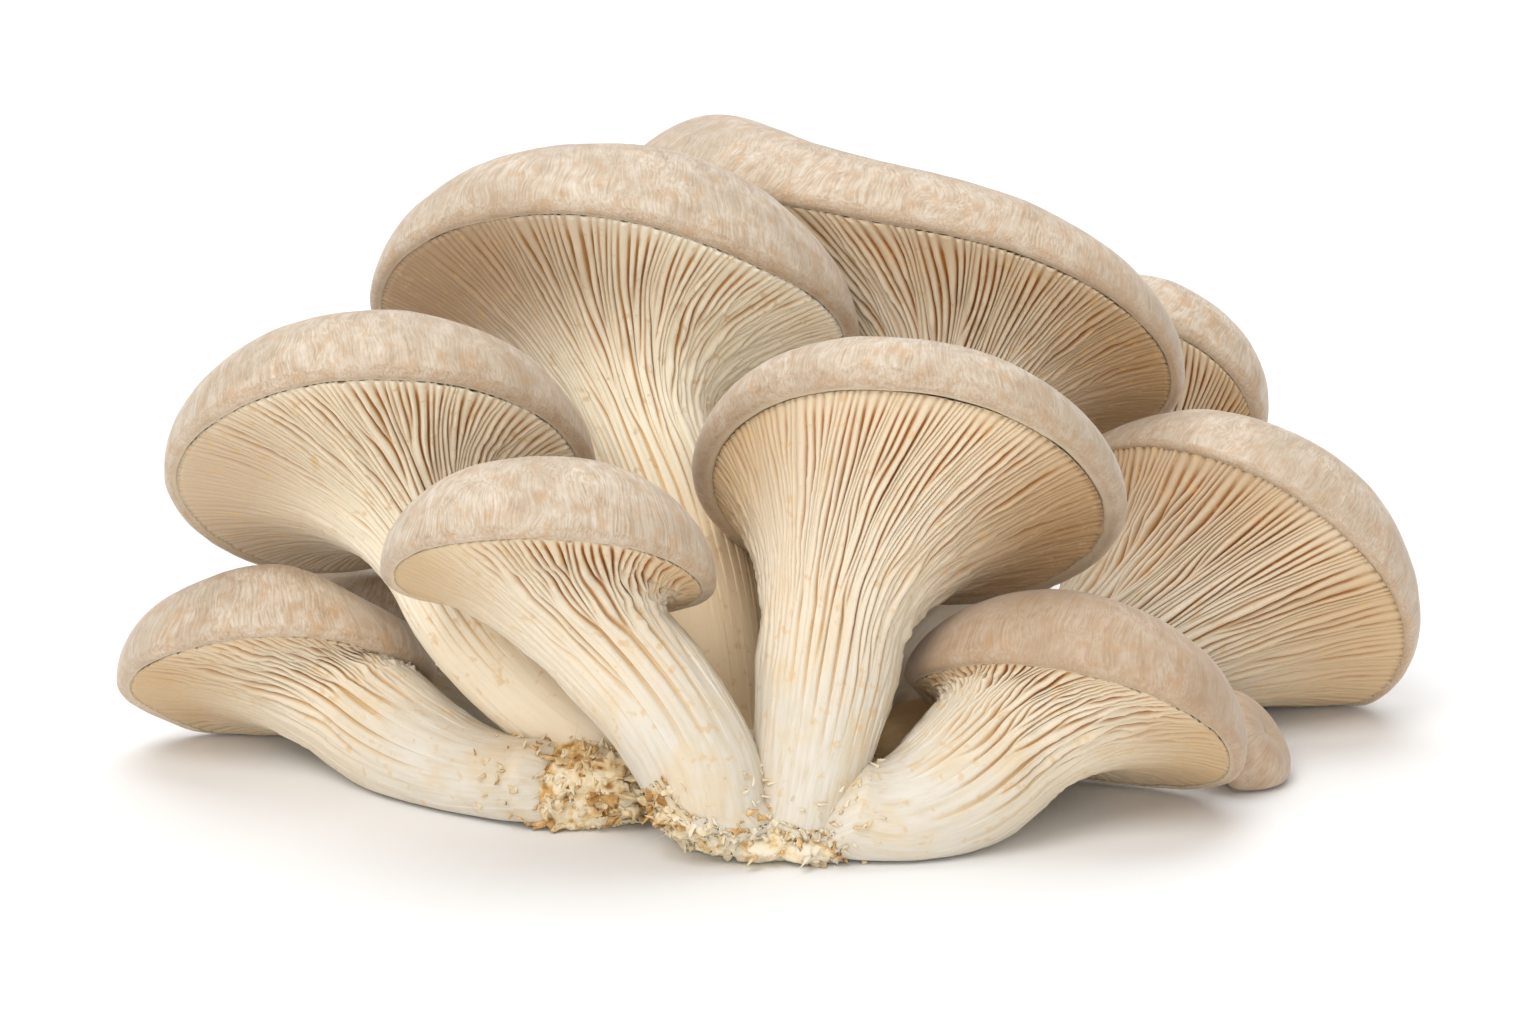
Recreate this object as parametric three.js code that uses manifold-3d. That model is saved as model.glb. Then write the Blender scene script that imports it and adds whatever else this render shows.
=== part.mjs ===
// A cluster of oyster mushrooms, cut from its growing block and laid on a table.
// Millimetres, +Z up, the table at Z = 0, -Y towards the side where the gills show.
// Each mushroom is two bodies: a brown cap, and a cream stem that opens into gills.
// The stems have grown together at their feet, in one torn base of mycelium.
import * as THREE from 'three';
import Module from 'manifold-3d';
import { mergeVertices } from 'three/addons/utils/BufferGeometryUtils.js';

// Driving dimensions
const GAP = 0.35; // clear space between two bodies
const RIM_GAP = 1; // clear space between the cap's lip and the gill edge
const GILL_EDGE = 1.1; // thickness of the gill layer at the rim
const GILL_HEIGHT = 1.5; // relief of the gills, crest over groove, at its largest
const GILL_START = 0.45; // share of the stem below which there are no gills
const DIP = 0.25; // depth of the dip over the stem, as a share of the dome
const THIN_BACK = 0.4; // how much thinner the cap is at its far side
const SETTLE = 1.6; // flesh lower than this flattens softly on the table
const CLUSTER_SHIFT = [0.8, -71.5, 0]; // brings the middle of the cluster's box to the origin

// The mushrooms. root, bend and neck guide the stem, eye is where its line meets the rim,
// faces is the way the cap's top looks, reach is the rim's distance from the eye.
// A wave lifts the rim and swells the dome round one turn of the rim, in degrees from the right.
const MUSHROOMS = [
  {
    name: 'front_middle',
    root: [3.5, 6, 6], bend: [6, 7, 18], neck: [8, 14.5, 30], eye: [20, 36, 48.5],
    faces: [0.11, 0.69, 0.72], reach: { left: 29.6, right: 30.6, near: 31.6, far: 30.6 },
    rootRadius: 8.3, neckRadius: 11, hollow: 0.5, margin: 4.4, dome: 14.5, gills: 36,
    waves: [
      { turn: 20, spread: 30, lift: -0.8, swell: 0 },
      { turn: 130, spread: 30, lift: 0.8, swell: 0.5 },
    ],
  },
  {
    name: 'front_left',
    root: [-10.5, 4, 8.5], bend: [-12, 4, 18], neck: [-24, 8, 30.5], eye: [-36, 14, 40.5],
    faces: [0.05, 0.5, 0.87], reach: { left: 22.3, right: 23.5, near: 24, far: 17 },
    rootRadius: 9.4, neckRadius: 9.7, hollow: 0.75, margin: 3, dome: 16, gills: 30,
    waves: [
      { turn: 200, spread: 30, lift: -0.6, swell: 0 },
      { turn: 60, spread: 40, lift: 0.6, swell: 0.5 },
    ],
  },
  {
    name: 'front_right',
    root: [11, 4, 7], bend: [21.3, 5, 3.5], neck: [32.3, 12.5, 12.8], eye: [46.5, 24, 14],
    faces: [0.22, 0.57, 0.79], reach: { left: 25, right: 24.2, near: 24, far: 20 },
    rootRadius: 8, neckRadius: 11.3, hollow: 0.9, margin: 3, dome: 17, gills: 30,
    waves: [
      { turn: 350, spread: 25, lift: -0.8, swell: 0 },
      { turn: 200, spread: 30, lift: 3.5, swell: 0 },
      { turn: 110, spread: 40, lift: 0.6, swell: 0.5 },
    ],
  },
  {
    name: 'low_left',
    root: [-37, 20, 7], bend: [-51, 31, 3], neck: [-64, 44.5, 9.5], eye: [-80, 58, 12.2],
    faces: [-0.05, 0.54, 0.84], reach: { left: 24.5, right: 21.5, near: 23, far: 17 },
    rootRadius: 6.8, neckRadius: 10, hollow: 0.85, margin: 3, dome: 15, gills: 30,
    waves: [
      { turn: 275, spread: 50, lift: -6, swell: 0 },
      { turn: 35, spread: 35, lift: -0.8, swell: -2.6 },
      { turn: 90, spread: 40, lift: 0.6, swell: 0.8 },
    ],
  },
  {
    name: 'left',
    root: [-28, 28, 11], bend: [-44.5, 31, 21.5], neck: [-52, 41, 34], eye: [-65, 49, 49],
    faces: [-0.04, 0.68, 0.73], reach: { left: 30, right: 33, near: 30, far: 34 },
    rootRadius: 7.5, neckRadius: 9, hollow: 0.9, margin: 3, dome: 19.5, gills: 36,
    waves: [
      { turn: 0, spread: 30, lift: -1.5, swell: 0 },
      { turn: 150, spread: 35, lift: -0.8, swell: 0 },
      { turn: 285, spread: 32, lift: 4, swell: 0 },
    ],
  },
  {
    name: 'top_left',
    root: [-9, 32, 7], bend: [-10, 52, 24.5], neck: [-20.5, 69.5, 45.5], eye: [-27, 82, 66.5],
    faces: [0.1, 0.68, 0.73], reach: { left: 37.5, right: 37.5, near: 34, far: 27 },
    rootRadius: 8.5, neckRadius: 11.5, hollow: 0.75, margin: 3, dome: 20.5, gills: 36,
    waves: [
      { turn: 180, spread: 30, lift: -1, swell: 0 },
      { turn: 52, spread: 34, lift: -2.6, swell: 2.2 },
    ],
  },
  {
    name: 'top_right',
    root: [4, 42, 8.5], bend: [6, 68.6, 14], neck: [22.5, 89, 39.5], eye: [28.5, 102, 58],
    faces: [0.2, 0.68, 0.7], reach: { left: 64, right: 37.5, near: 34, far: 27 },
    rootRadius: 8, neckRadius: 11.5, hollow: 0.84, margin: 3, dome: 18, gills: 48,
    waves: [{ turn: 140, spread: 30, lift: 6, swell: 0 }, { turn: 160, spread: 36, lift: 0, swell: 13.5 }],
  },
  {
    name: 'right',
    root: [15.5, 29, 7.5], bend: [37, 52, 4.5], neck: [47, 59.5, 10], eye: [78.5, 82, 22.5],
    faces: [0.48, 0.72, 0.5], reach: { left: 35, right: 27.8, near: 26.8, far: 27.5 },
    rootRadius: 8, neckRadius: 12, hollow: 0.5, margin: 2, dome: 18, gills: 36,
    waves: [
      { turn: 58, spread: 38, lift: -1.4, swell: 1.6 },
      { turn: 130, spread: 40, lift: 0.8, swell: 1.5 },
    ],
  },
  {
    name: 'back_right',
    root: [15.5, 59, 9], bend: [30, 98, 16], neck: [52.5, 120, 24], eye: [63, 134, 43],
    faces: [0.35, 0.7, 0.6], reach: { left: 21, right: 20, near: 20, far: 17 },
    rootRadius: 6.5, neckRadius: 7, hollow: 0.75, margin: 3, dome: 15, gills: 24,
    waves: [],
  },
  {
    name: 'low_right_small',
    root: [32.2, 48.5, 4], bend: [54, 51, 3.5], neck: [64, 49, 3.5], eye: [73.5, 45, 5],
    faces: [0.75, -0.35, 0.55], reach: { left: 7.5, right: 7.5, near: 8, far: 8 },
    rootRadius: 3, neckRadius: 3.5, hollow: 0.75, margin: 2, dome: 8, gills: 18,
    waves: [],
  },
  {
    name: 'low_left_small',
    root: [-17.5, 42, 4.5], bend: [-60, 84, 2], neck: [-63, 86, 7], eye: [-64, 87, 15],
    faces: [0.05, -0.3, 0.95], reach: { left: 20, right: 16, near: 10, far: 10 },
    rootRadius: 3.5, neckRadius: 4, hollow: 0.75, margin: 2, dome: 13, gills: 18,
    waves: [],
  },
];

// The torn base: a core that holds the roots, and the two torn lumps on its near side.
const LUMPS = [
  { middle: [2, 32, 5], size: [22, 16, 9] },
  { middle: [0, 9, 4], size: [18, 9, 6.5] },
  { middle: [-30, 22, 5.5], size: [11, 8, 7.5] },
  { middle: [-17, 25, 6], size: [14, 8, 6.5] },
];
const ROUGHNESS = 0.08; // lumps and hollows of the base, as a share of its size

// Where the rings of a body lie: along the stem, along the trumpet, and from the cap's rim inwards
const STEM_STEPS = [0, 0.25, 0.5, 0.75];
const TRUMPET_STEPS = [1, 1.3, 1.58, 1.82, 2];
const CAP_STEPS = [1, 0.97, 0.9, 0.78, 0.58, 0.3];
const STEM_SIDES_SHARE = 4; // the plain stem has one side for this many sides of the gills

// Colours and finish
const CAP_SKIN = { color: 0xc3a98c, roughness: 0.6, metalness: 0 };
const STEM_FLESH = { color: 0xefe3cb, roughness: 0.75, metalness: 0 };
const BASE_FLESH = { color: 0xdcc090, roughness: 0.9, metalness: 0 };

const wasm = await Module();
wasm.setup();

const point = (list) => new THREE.Vector3(...list);
const radians = THREE.MathUtils.degToRad;
const mix = THREE.MathUtils.lerp;
const ease = (low, high, x) => THREE.MathUtils.smoothstep(x, low, high);

// Soft flesh never goes through the table: heights below SETTLE are pressed up smoothly.
function settle(p) {
  if (p.z < SETTLE) p.z = SETTLE * Math.exp((p.z - SETTLE) / SETTLE);
  return p;
}

// A closed surface made ring by ring. Rings may have different counts, one a multiple of the other.
class RingBody {
  constructor() {
    this.points = [];
    this.faces = [];
    this.last = null;
  }

  add(list) {
    const first = this.points.length;
    this.points.push(...list);
    return list.map((_, i) => first + i);
  }

  ring(list) {
    const next = this.add(list);
    if (this.last) this.stitch(this.last, next);
    this.last = next;
  }

  stitch(low, high) {
    const wide = low.length >= high.length ? low : high;
    const slim = wide === low ? high : low;
    const share = wide.length / slim.length;
    const half = Math.floor(share / 2);
    const face = (a, b, c) => this.faces.push(...(wide === low ? [a, c, b] : [a, b, c]));
    slim.forEach((here, j) => {
      const next = slim[(j + 1) % slim.length];
      for (let k = 0; k < share; k++) {
        const a = wide[(j * share + k) % wide.length];
        const b = wide[(j * share + k + 1) % wide.length];
        face(a, b, k < half ? here : next);
        if (k === half) face(a, next, here);
      }
    });
  }

  cap(middle, atStart) {
    const [centre] = this.add([middle]);
    this.last.forEach((here, j) => {
      const next = this.last[(j + 1) % this.last.length];
      this.faces.push(...(atStart ? [centre, here, next] : [centre, next, here]));
    });
  }

  geometry() {
    const places = this.points.flatMap((p) => [p.x, p.y, p.z]);
    const made = new THREE.BufferGeometry();
    made.setAttribute('position', new THREE.Float32BufferAttribute(places, 3));
    made.setIndex(this.faces);
    made.computeVertexNormals();
    return made;
  }
}

// Directions of a mushroom: across and near lie in the rim's plane, up is the way the cap faces.
function framesOf(m) {
  const up = point(m.faces).normalize();
  const across = new THREE.Vector3(1, 0, 0);
  across.addScaledVector(up, -across.dot(up)).normalize();
  const near = new THREE.Vector3().crossVectors(across, up);
  const line = new THREE.QuadraticBezierCurve3(point(m.root), point(m.bend), point(m.neck));
  const tip = line.getTangent(1);
  const eye = point(m.eye);
  const middle = eye.clone()
    .addScaledVector(across, (m.reach.right - m.reach.left) / 2)
    .addScaledVector(near, (m.reach.near - m.reach.far) / 2);
  return { up, across, near, line, tip, eye, middle };
}

// How much of a wave is felt at an angle: all of it at its turn, fading within its spread.
function waveShare(wave, angle) {
  const away = Math.atan2(Math.sin(angle - radians(wave.turn)), Math.cos(angle - radians(wave.turn)));
  return Math.exp(-Math.pow(away / radians(wave.spread), 2));
}

function rimLift(m, angle) {
  return m.waves.reduce((sum, wave) => sum + wave.lift * waveShare(wave, angle), 0);
}

function domeSwell(m, angle, share) {
  const whole = m.waves.reduce((sum, wave) => sum + wave.swell * waveShare(wave, angle), 0);
  return whole * Math.sin(Math.PI * share * share);
}

// The rim without its waves, at an angle counted from the right, towards the near side.
function flatRim(m, f, angle) {
  const c = Math.cos(angle);
  const s = Math.sin(angle);
  return f.eye.clone()
    .addScaledVector(f.across, c * (c > 0 ? m.reach.right : m.reach.left))
    .addScaledVector(f.near, s * (s > 0 ? m.reach.near : m.reach.far));
}

function rim(m, f, angle) {
  return flatRim(m, f, angle).addScaledVector(f.up, rimLift(m, angle));
}

// Turns the rim's own directions so that they stand across the stem where it points along tangent.
function acrossStem(f, tangent, angle) {
  const turn = new THREE.Quaternion().setFromUnitVectors(f.up, tangent);
  const side = f.across.clone().multiplyScalar(Math.cos(angle)).addScaledVector(f.near, Math.sin(angle));
  return side.applyQuaternion(turn);
}

function stemPoint(m, f, angle, share) {
  const radius = mix(m.rootRadius, m.neckRadius, ease(0, 1, share));
  return f.line.getPoint(share).addScaledVector(acrossStem(f, f.line.getTangent(share), angle), radius);
}

// The trumpet between the neck and the rim: it leaves along the stem and arrives along the cap.
function trumpetPoint(m, f, angle, share) {
  const low = stemPoint(m, f, angle, 1);
  const high = rim(m, f, angle);
  const height = f.eye.clone().sub(low).dot(f.up) / f.tip.dot(f.up);
  const corner = low.clone().addScaledVector(f.tip, height * m.hollow);
  return new THREE.QuadraticBezierCurve3(low, corner, high).getPoint(share);
}

// A place on the stem and trumpet together: 0 to 1 is the stem, 1 to 2 the trumpet.
function fleshPoint(m, f, angle, way) {
  return way <= 1 ? stemPoint(m, f, angle, way) : trumpetPoint(m, f, angle, way - 1);
}

function fleshNormal(m, f, angle, way) {
  const step = 0.01;
  const along = fleshPoint(m, f, angle, Math.min(way + step, 2));
  along.sub(fleshPoint(m, f, angle, Math.max(way - step, 0)));
  const round = fleshPoint(m, f, angle + step, way).sub(fleshPoint(m, f, angle - step, way));
  return along.cross(round).normalize();
}

// Gills rise from nothing on the stem, stand tallest half way out and thin towards the rim.
function gillRelief(m, way) {
  const tall = GILL_HEIGHT * Math.min(1, m.neckRadius / 9);
  return tall * ease(GILL_START, 1.5, way) * mix(1, 0.55, ease(1.5, 2, way));
}

function anglesFor(count) {
  return Array.from({ length: count }, (_, i) => (i / count) * 2 * Math.PI);
}

function rootEnd(m, f, swell) {
  return point(m.root).addScaledVector(f.line.getTangent(0), -0.5 * m.rootRadius - swell);
}

// swell makes the same shape a little larger all over, for the room it takes in others.
function stemGeometry(m, f, swell = 0) {
  const body = new RingBody();
  const fine = anglesFor(2 * m.gills);
  const plain = anglesFor((2 * m.gills) / STEM_SIDES_SHARE);
  const raised = (a, way, rise) => {
    const out = fleshNormal(m, f, a, way).multiplyScalar(rise);
    return settle(fleshPoint(m, f, a, way).add(out));
  };
  for (const way of STEM_STEPS) {
    body.ring(plain.map((a) => raised(a, way, swell)));
    if (way === 0) body.cap(settle(rootEnd(m, f, swell)), true);
  }
  for (const way of TRUMPET_STEPS) {
    const half = gillRelief(m, way) / 2;
    body.ring(fine.map((a, i) => raised(a, way, swell + (i % 2 === 0 ? half : -half))));
  }
  body.ring(plain.map((a) => settle(capPoint(m, f, a, 0.97, GILL_EDGE))));
  body.cap(settle(f.middle.clone().addScaledVector(f.up, underside(m))), false);
  return body.geometry();
}

// How far the flesh under the cap rises at the middle.
function underside(m) {
  return GILL_EDGE + 0.3 * m.dome;
}

// A place over the rim: share of the way from the middle to the rim, plus out, at a height.
function capPoint(m, f, angle, share, height, out = 0) {
  const spoke = flatRim(m, f, angle).sub(f.middle);
  const length = spoke.length();
  return f.middle.clone()
    .addScaledVector(spoke, share + out / length)
    .addScaledVector(f.up, height + rimLift(m, angle) * share * share);
}

// The cap's outline from the middle to the rim: a shallow dip, then a blunt rolled margin.
function crown(share) {
  return Math.sqrt(1 - Math.pow(share, 4)) - DIP * Math.pow(Math.max(0, 1 - share / 0.7), 2);
}

function capGeometry(m, f, swell = 0) {
  const sides = anglesFor((2 * m.gills) / 3);
  const body = new RingBody();
  const flatRing = (share, height, out) => {
    body.ring(sides.map((a) => settle(capPoint(m, f, a, share, height - swell, out))));
  };
  const widest = 0.55 * m.margin;
  const lip = 0.35 * m.margin;
  flatRing(0.97, GILL_EDGE + 2 * GAP, RIM_GAP);
  body.cap(settle(f.middle.clone().addScaledVector(f.up, underside(m) + 2 * GAP - swell)), true);
  flatRing(1, -0.2 * lip, RIM_GAP);
  flatRing(1, -lip, widest);
  for (const share of CAP_STEPS) {
    body.ring(sides.map((a) => {
      const thinner = 1 - THIN_BACK * share * (1 - Math.sin(a)) / 2;
      const height = mix(widest, m.dome * thinner, crown(share)) + domeSwell(m, a, share);
      return settle(capPoint(m, f, a, share, height + swell, (m.margin + swell) * share));
    }));
  }
  body.cap(settle(f.middle.clone().addScaledVector(f.up, m.dome * crown(0) + swell)), false);
  return body.geometry();
}

function solidOf(geometry) {
  const bare = new THREE.BufferGeometry();
  bare.setAttribute('position', geometry.getAttribute('position').clone());
  if (geometry.index) bare.setIndex(geometry.index.clone());
  const merged = mergeVertices(bare);
  const vertProperties = new Float32Array(merged.attributes.position.array);
  const triVerts = new Uint32Array(merged.index.array);
  return new wasm.Manifold(new wasm.Mesh({ numProp: 3, vertProperties, triVerts }));
}

function geometryOf(solid) {
  const { vertProperties, triVerts } = solid.getMesh();
  const made = new THREE.BufferGeometry();
  made.setAttribute('position', new THREE.BufferAttribute(new Float32Array(vertProperties), 3));
  made.setIndex(new THREE.BufferAttribute(new Uint32Array(triVerts), 1));
  made.computeVertexNormals();
  return made;
}

// One rough lump with a flat cut underneath.
function lumpSolid({ middle, size }) {
  const lump = new THREE.IcosahedronGeometry(1, 3);
  const places = lump.getAttribute('position');
  const p = new THREE.Vector3();
  for (let i = 0; i < places.count; i++) {
    p.fromBufferAttribute(places, i);
    const swell = Math.sin(5 * p.x + 1) * Math.cos(6 * p.y) + Math.sin(7 * p.z + 4 * p.x);
    p.multiplyScalar(1 + ROUGHNESS * swell).multiply(point(size)).add(point(middle));
    places.setXYZ(i, p.x, p.y, Math.max(p.z, 0));
  }
  return solidOf(lump);
}

// What is left of a solid that gives way to others which have grown into it.
function cutBack(solid, others) {
  const left = others.reduce((rest, other) => rest.subtract(other), solid);
  return left.decompose().sort((a, b) => b.volume() - a.volume())[0];
}

function meshOf(name, geometry, finish) {
  const mesh = new THREE.Mesh(geometry, new THREE.MeshStandardMaterial(finish));
  mesh.name = name;
  return mesh;
}

const cluster = new THREE.Group();
cluster.position.set(...CLUSTER_SHIFT);
const sockets = [];
const capRoom = [];
for (const m of MUSHROOMS) {
  const f = framesOf(m);
  const grown = solidOf(stemGeometry(m, f));
  const underCap = solidOf(capGeometry(m, f, 0.3 * GAP));
  const stem = cutBack(grown, [...sockets, ...capRoom, underCap]);
  cluster.add(meshOf(`stem_${m.name}`, geometryOf(stem), STEM_FLESH));
  cluster.add(meshOf(`cap_${m.name}`, capGeometry(m, f), CAP_SKIN));
  sockets.push(grown.add(solidOf(stemGeometry(m, f, GAP))));
  capRoom.push(solidOf(capGeometry(m, f, GAP)));
}
const lumps = LUMPS.map(lumpSolid).reduce((sum, lump) => sum.add(lump));
cluster.add(meshOf('base', geometryOf(cutBack(lumps, sockets)), BASE_FLESH));

export default cluster;
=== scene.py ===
import math
import bmesh
import bpy
import numpy as np
from mathutils.bvhtree import BVHTree
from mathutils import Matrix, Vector


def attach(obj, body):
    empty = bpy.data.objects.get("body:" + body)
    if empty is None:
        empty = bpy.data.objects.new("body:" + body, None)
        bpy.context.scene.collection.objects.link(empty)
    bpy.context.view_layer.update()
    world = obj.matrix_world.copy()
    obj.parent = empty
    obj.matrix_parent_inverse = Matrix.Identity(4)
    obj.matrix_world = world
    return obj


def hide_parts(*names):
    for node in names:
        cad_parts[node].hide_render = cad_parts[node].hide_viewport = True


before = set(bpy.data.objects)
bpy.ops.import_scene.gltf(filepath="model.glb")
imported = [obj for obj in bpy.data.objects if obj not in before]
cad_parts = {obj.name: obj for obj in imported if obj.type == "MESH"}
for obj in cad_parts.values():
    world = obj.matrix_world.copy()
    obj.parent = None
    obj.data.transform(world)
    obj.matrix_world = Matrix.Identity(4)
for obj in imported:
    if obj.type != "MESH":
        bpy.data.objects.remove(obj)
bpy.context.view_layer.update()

print("frame loaded:", len(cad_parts), "nodes")

mm = 0.001
clusterShift = np.array([0.8, -71.5, 0.0])  # same shift as the solids have, in millimetres
rimOverlap = 0.8  # how far the gills run into the lip of the cap, in millimetres
settleHeight = 1.6  # flesh lower than this flattens on the table, in millimetres


# small helpers for arrays

def unit(v):
    return v / np.linalg.norm(v, axis=-1, keepdims=True)


def mix(a, b, t):
    return a + (b - a) * t


def ease(low, high, x):
    t = np.clip((x - low) / (high - low), 0, 1)
    return t * t * (3 - 2 * t)


# small helpers for node trees

def feed(tree, socket, value):
    if isinstance(value, bpy.types.NodeSocket):
        tree.links.new(value, socket)
    else:
        socket.default_value = value


def addNode(tree, kind, settings=None, inputs=None):
    node = tree.nodes.new(kind)
    for key, value in (settings or {}).items():
        setattr(node, key, value)
    for key, value in (inputs or {}).items():
        feed(tree, node.inputs[key], value)
    return node


def calc(tree, operation, *values):
    node = addNode(tree, "ShaderNodeMath", {"operation": operation})
    for i, value in enumerate(values):
        feed(tree, node.inputs[i], value)
    return node.outputs[0]


def calcVector(tree, operation, *values):
    node = addNode(tree, "ShaderNodeVectorMath", {"operation": operation})
    for i, value in enumerate(values):
        feed(tree, node.inputs["Scale" if operation == "SCALE" and i == 1 else i], value)
    return node.outputs[0]


def noiseOf(tree, vector, scale, detail=2.0, rough=0.5, seed=None):
    inputs = {"Vector": vector, "Scale": scale, "Detail": detail, "Roughness": rough}
    settings = {}
    if seed is not None:
        settings["noise_dimensions"] = "4D"
    node = addNode(tree, "ShaderNodeTexNoise", settings)
    if seed is not None:
        inputs["W"] = seed
    for key, value in inputs.items():
        feed(tree, node.inputs[key], value)
    return node.outputs[0]


def rampOf(tree, value, stops):
    node = addNode(tree, "ShaderNodeValToRGB", inputs={"Fac": value})
    while len(node.color_ramp.elements) < len(stops):
        node.color_ramp.elements.new(0.5)
    for element, (place, colour) in zip(node.color_ramp.elements, stops):
        element.position = place
        element.color = (*colour, 1)
    return node.outputs["Color"]


def blendOf(tree, share, a, b, way="MIX"):
    node = addNode(tree, "ShaderNodeMix", {"data_type": "RGBA", "blend_type": way})
    feed(tree, node.inputs[0], share)
    for socket, value in ((node.inputs[6], a), (node.inputs[7], b)):
        feed(tree, socket, value if isinstance(value, bpy.types.NodeSocket) else (*value, 1))
    return node.outputs[2]


def rangeOf(tree, value, low, high, toLow=0.0, toHigh=1.0):
    node = addNode(tree, "ShaderNodeMapRange", {"interpolation_type": "SMOOTHSTEP"})
    for key, number in (("Value", value), ("From Min", low), ("From Max", high), ("To Min", toLow), ("To Max", toHigh)):
        feed(tree, node.inputs[key], number)
    return node.outputs[0]


def hexColour(text):
    parts = [int(text[i:i + 2], 16) / 255 for i in (0, 2, 4)]
    return tuple(c / 12.92 if c <= 0.04045 else ((c + 0.055) / 1.055) ** 2.4 for c in parts)


# the mushrooms, in millimetres, with the same guide points as the solids

frontMiddle = dict(
    name="front_middle", seed=11, root=(3.5, 6, 6), bend=(6, 7, 18), neck=(8, 14.5, 30), eye=(20, 36, 48.5),
    faces=(0.11, 0.69, 0.72), left=29.6, right=30.6, near=31.6, far=30.6,
    rootRadius=8.3, neckRadius=11, hollow=0.5, margin=4.4, dome=14.5, footTo=(3, 4, 0.8), torn=0.6,
    crispTurn=35, soft=0.6, paintedGillShade=(320, 0.55),
    waves=[(20, 30, -0.8, 0), (130, 30, 0.8, 0.5)],
)
frontLeft = dict(
    name="front_left", seed=12, root=(-10.5, 4, 8.5), bend=(-12, 4, 18), neck=(-24, 8, 30.5), eye=(-36, 14, 40.5),
    faces=(0.05, 0.5, 0.87), left=22.3, right=23.5, near=24, far=17,
    rootRadius=9.4, neckRadius=9.7, hollow=0.75, margin=3, dome=16, footTo=(-2, 4.5, 1.2), torn=0.6,
    crispTurn=35,
    waves=[(200, 30, -0.6, 0), (60, 40, 0.6, 0.5)],
)
frontRight = dict(
    name="front_right", seed=13, root=(11, 4, 7), bend=(21.3, 5, 3.5), neck=(32.3, 12.5, 12.8), eye=(46.5, 24, 14),
    faces=(0.22, 0.57, 0.79), left=25, right=24.2, near=24, far=20,
    rootRadius=8, neckRadius=11.3, hollow=0.9, margin=3, dome=17, footTo=(3, 4.5, 3), paintedCapShade=0.42, torn=0.6,
    crispTurn=110,
    waves=[(350, 25, -0.8, 0), (200, 30, 3.5, 0), (110, 40, 0.6, 0.5)],
)
lowLeft = dict(
    name="low_left", seed=14, root=(-37, 20, 7), bend=(-51, 31, 3), neck=(-64, 44.5, 9.5), eye=(-80, 58, 12.2),
    faces=(-0.05, 0.54, 0.84), left=24.5, right=21.5, near=23, far=17,
    rootRadius=6.8, neckRadius=10, hollow=0.85, margin=3, dome=15, footTo=(-30, 20.5, 6.2), torn=0.6,
    waves=[(275, 50, -6, 0), (35, 35, -0.8, -2.6), (90, 40, 0.6, 0.8)],
)
leftOne = dict(
    name="left", seed=15, root=(-28, 28, 11), bend=(-44.5, 31, 21.5), neck=(-52, 41, 34), eye=(-65, 49, 49),
    faces=(-0.04, 0.68, 0.73), left=30, right=33, near=30, far=34,
    rootRadius=7.5, neckRadius=9, hollow=0.9, margin=3, dome=19.5, paintedLight=0.55, goldTintAndShade=0.2,
    paintedGillShade=(200, 0.4),
    waves=[(0, 30, -1.5, 0), (150, 35, -0.8, 0), (285, 32, 4, 0)],
)
topLeft = dict(
    name="top_left", seed=16, root=(-9, 32, 7), bend=(-10, 52, 24.5), neck=(-20.5, 69.5, 45.5), eye=(-27, 82, 66.5),
    faces=(0.1, 0.68, 0.73), left=37.5, right=37.5, near=34, far=27,
    rootRadius=8.5, neckRadius=11.5, hollow=0.75, margin=3, dome=20.5, paintedLight=1.0, goldTintAndShade=0.45,
    crispTurn=50, paintedGillShade=(170, 0.75),
    waves=[(180, 30, -1, 0), (52, 34, -2.6, 2.2)],
)
topRight = dict(
    name="top_right", seed=17, root=(4, 42, 8.5), bend=(6, 68.6, 14), neck=(22.5, 89, 39.5), eye=(28.5, 102, 58),
    faces=(0.2, 0.68, 0.7), left=64, right=37.5, near=34, far=27,
    rootRadius=8, neckRadius=11.5, hollow=0.84, margin=3, dome=18, crispTurn=80, paintedGillShade=(330, 0.4), paintedCapShade=0.1,
    waves=[(140, 30, 6, 0), (160, 36, 0, 13.5)],
)
rightOne = dict(
    name="right", seed=18, root=(15.5, 29, 7.5), bend=(37, 52, 4.5), neck=(47, 59.5, 10), eye=(78.5, 82, 22.5),
    faces=(0.48, 0.72, 0.5), left=35, right=27.8, near=26.8, far=27.5,
    rootRadius=8, neckRadius=12, hollow=0.5, margin=2, dome=18, crispTurn=110, soft=0.6, paintedGillShade=(140, 0.4),
    goldTintAndShade=0.7, paintedCapShade=0.1,
    waves=[(58, 38, -1.4, 1.6), (130, 40, 0.8, 1.5)],
)
backRight = dict(
    name="back_right", seed=19, root=(15.5, 59, 9), bend=(30, 98, 16), neck=(52.5, 120, 24), eye=(63, 134, 43),
    faces=(0.35, 0.7, 0.6), left=21, right=20, near=20, far=17,
    rootRadius=6.5, neckRadius=7, hollow=0.75, margin=3, dome=15, paintedGillShade=(180, 0.5), waves=[],
)
lowRightSmall = dict(
    name="low_right_small", seed=20, root=(32.2, 48.5, 4), bend=(54, 51, 3.5), neck=(64, 49, 3.5), eye=(73.5, 45, 5),
    faces=(0.75, -0.35, 0.55), left=7.5, right=7.5, near=8, far=8,
    rootRadius=3, neckRadius=3.5, hollow=0.75, margin=2, dome=8, paintedCapShade=0.35, waves=[],
)
lowLeftSmall = dict(
    name="low_left_small", seed=21, root=(-17.5, 42, 4.5), bend=(-60, 84, 2), neck=(-63, 86, 7), eye=(-64, 87, 15),
    faces=(0.05, -0.3, 0.95), left=20, right=16, near=10, far=10,
    rootRadius=3.5, neckRadius=4, hollow=0.75, margin=2, dome=13, waves=[],
)
mushrooms = [frontMiddle, frontLeft, frontRight, lowLeft, leftOne, topLeft, topRight, rightOne, backRight,
             lowRightSmall, lowLeftSmall]


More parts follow.
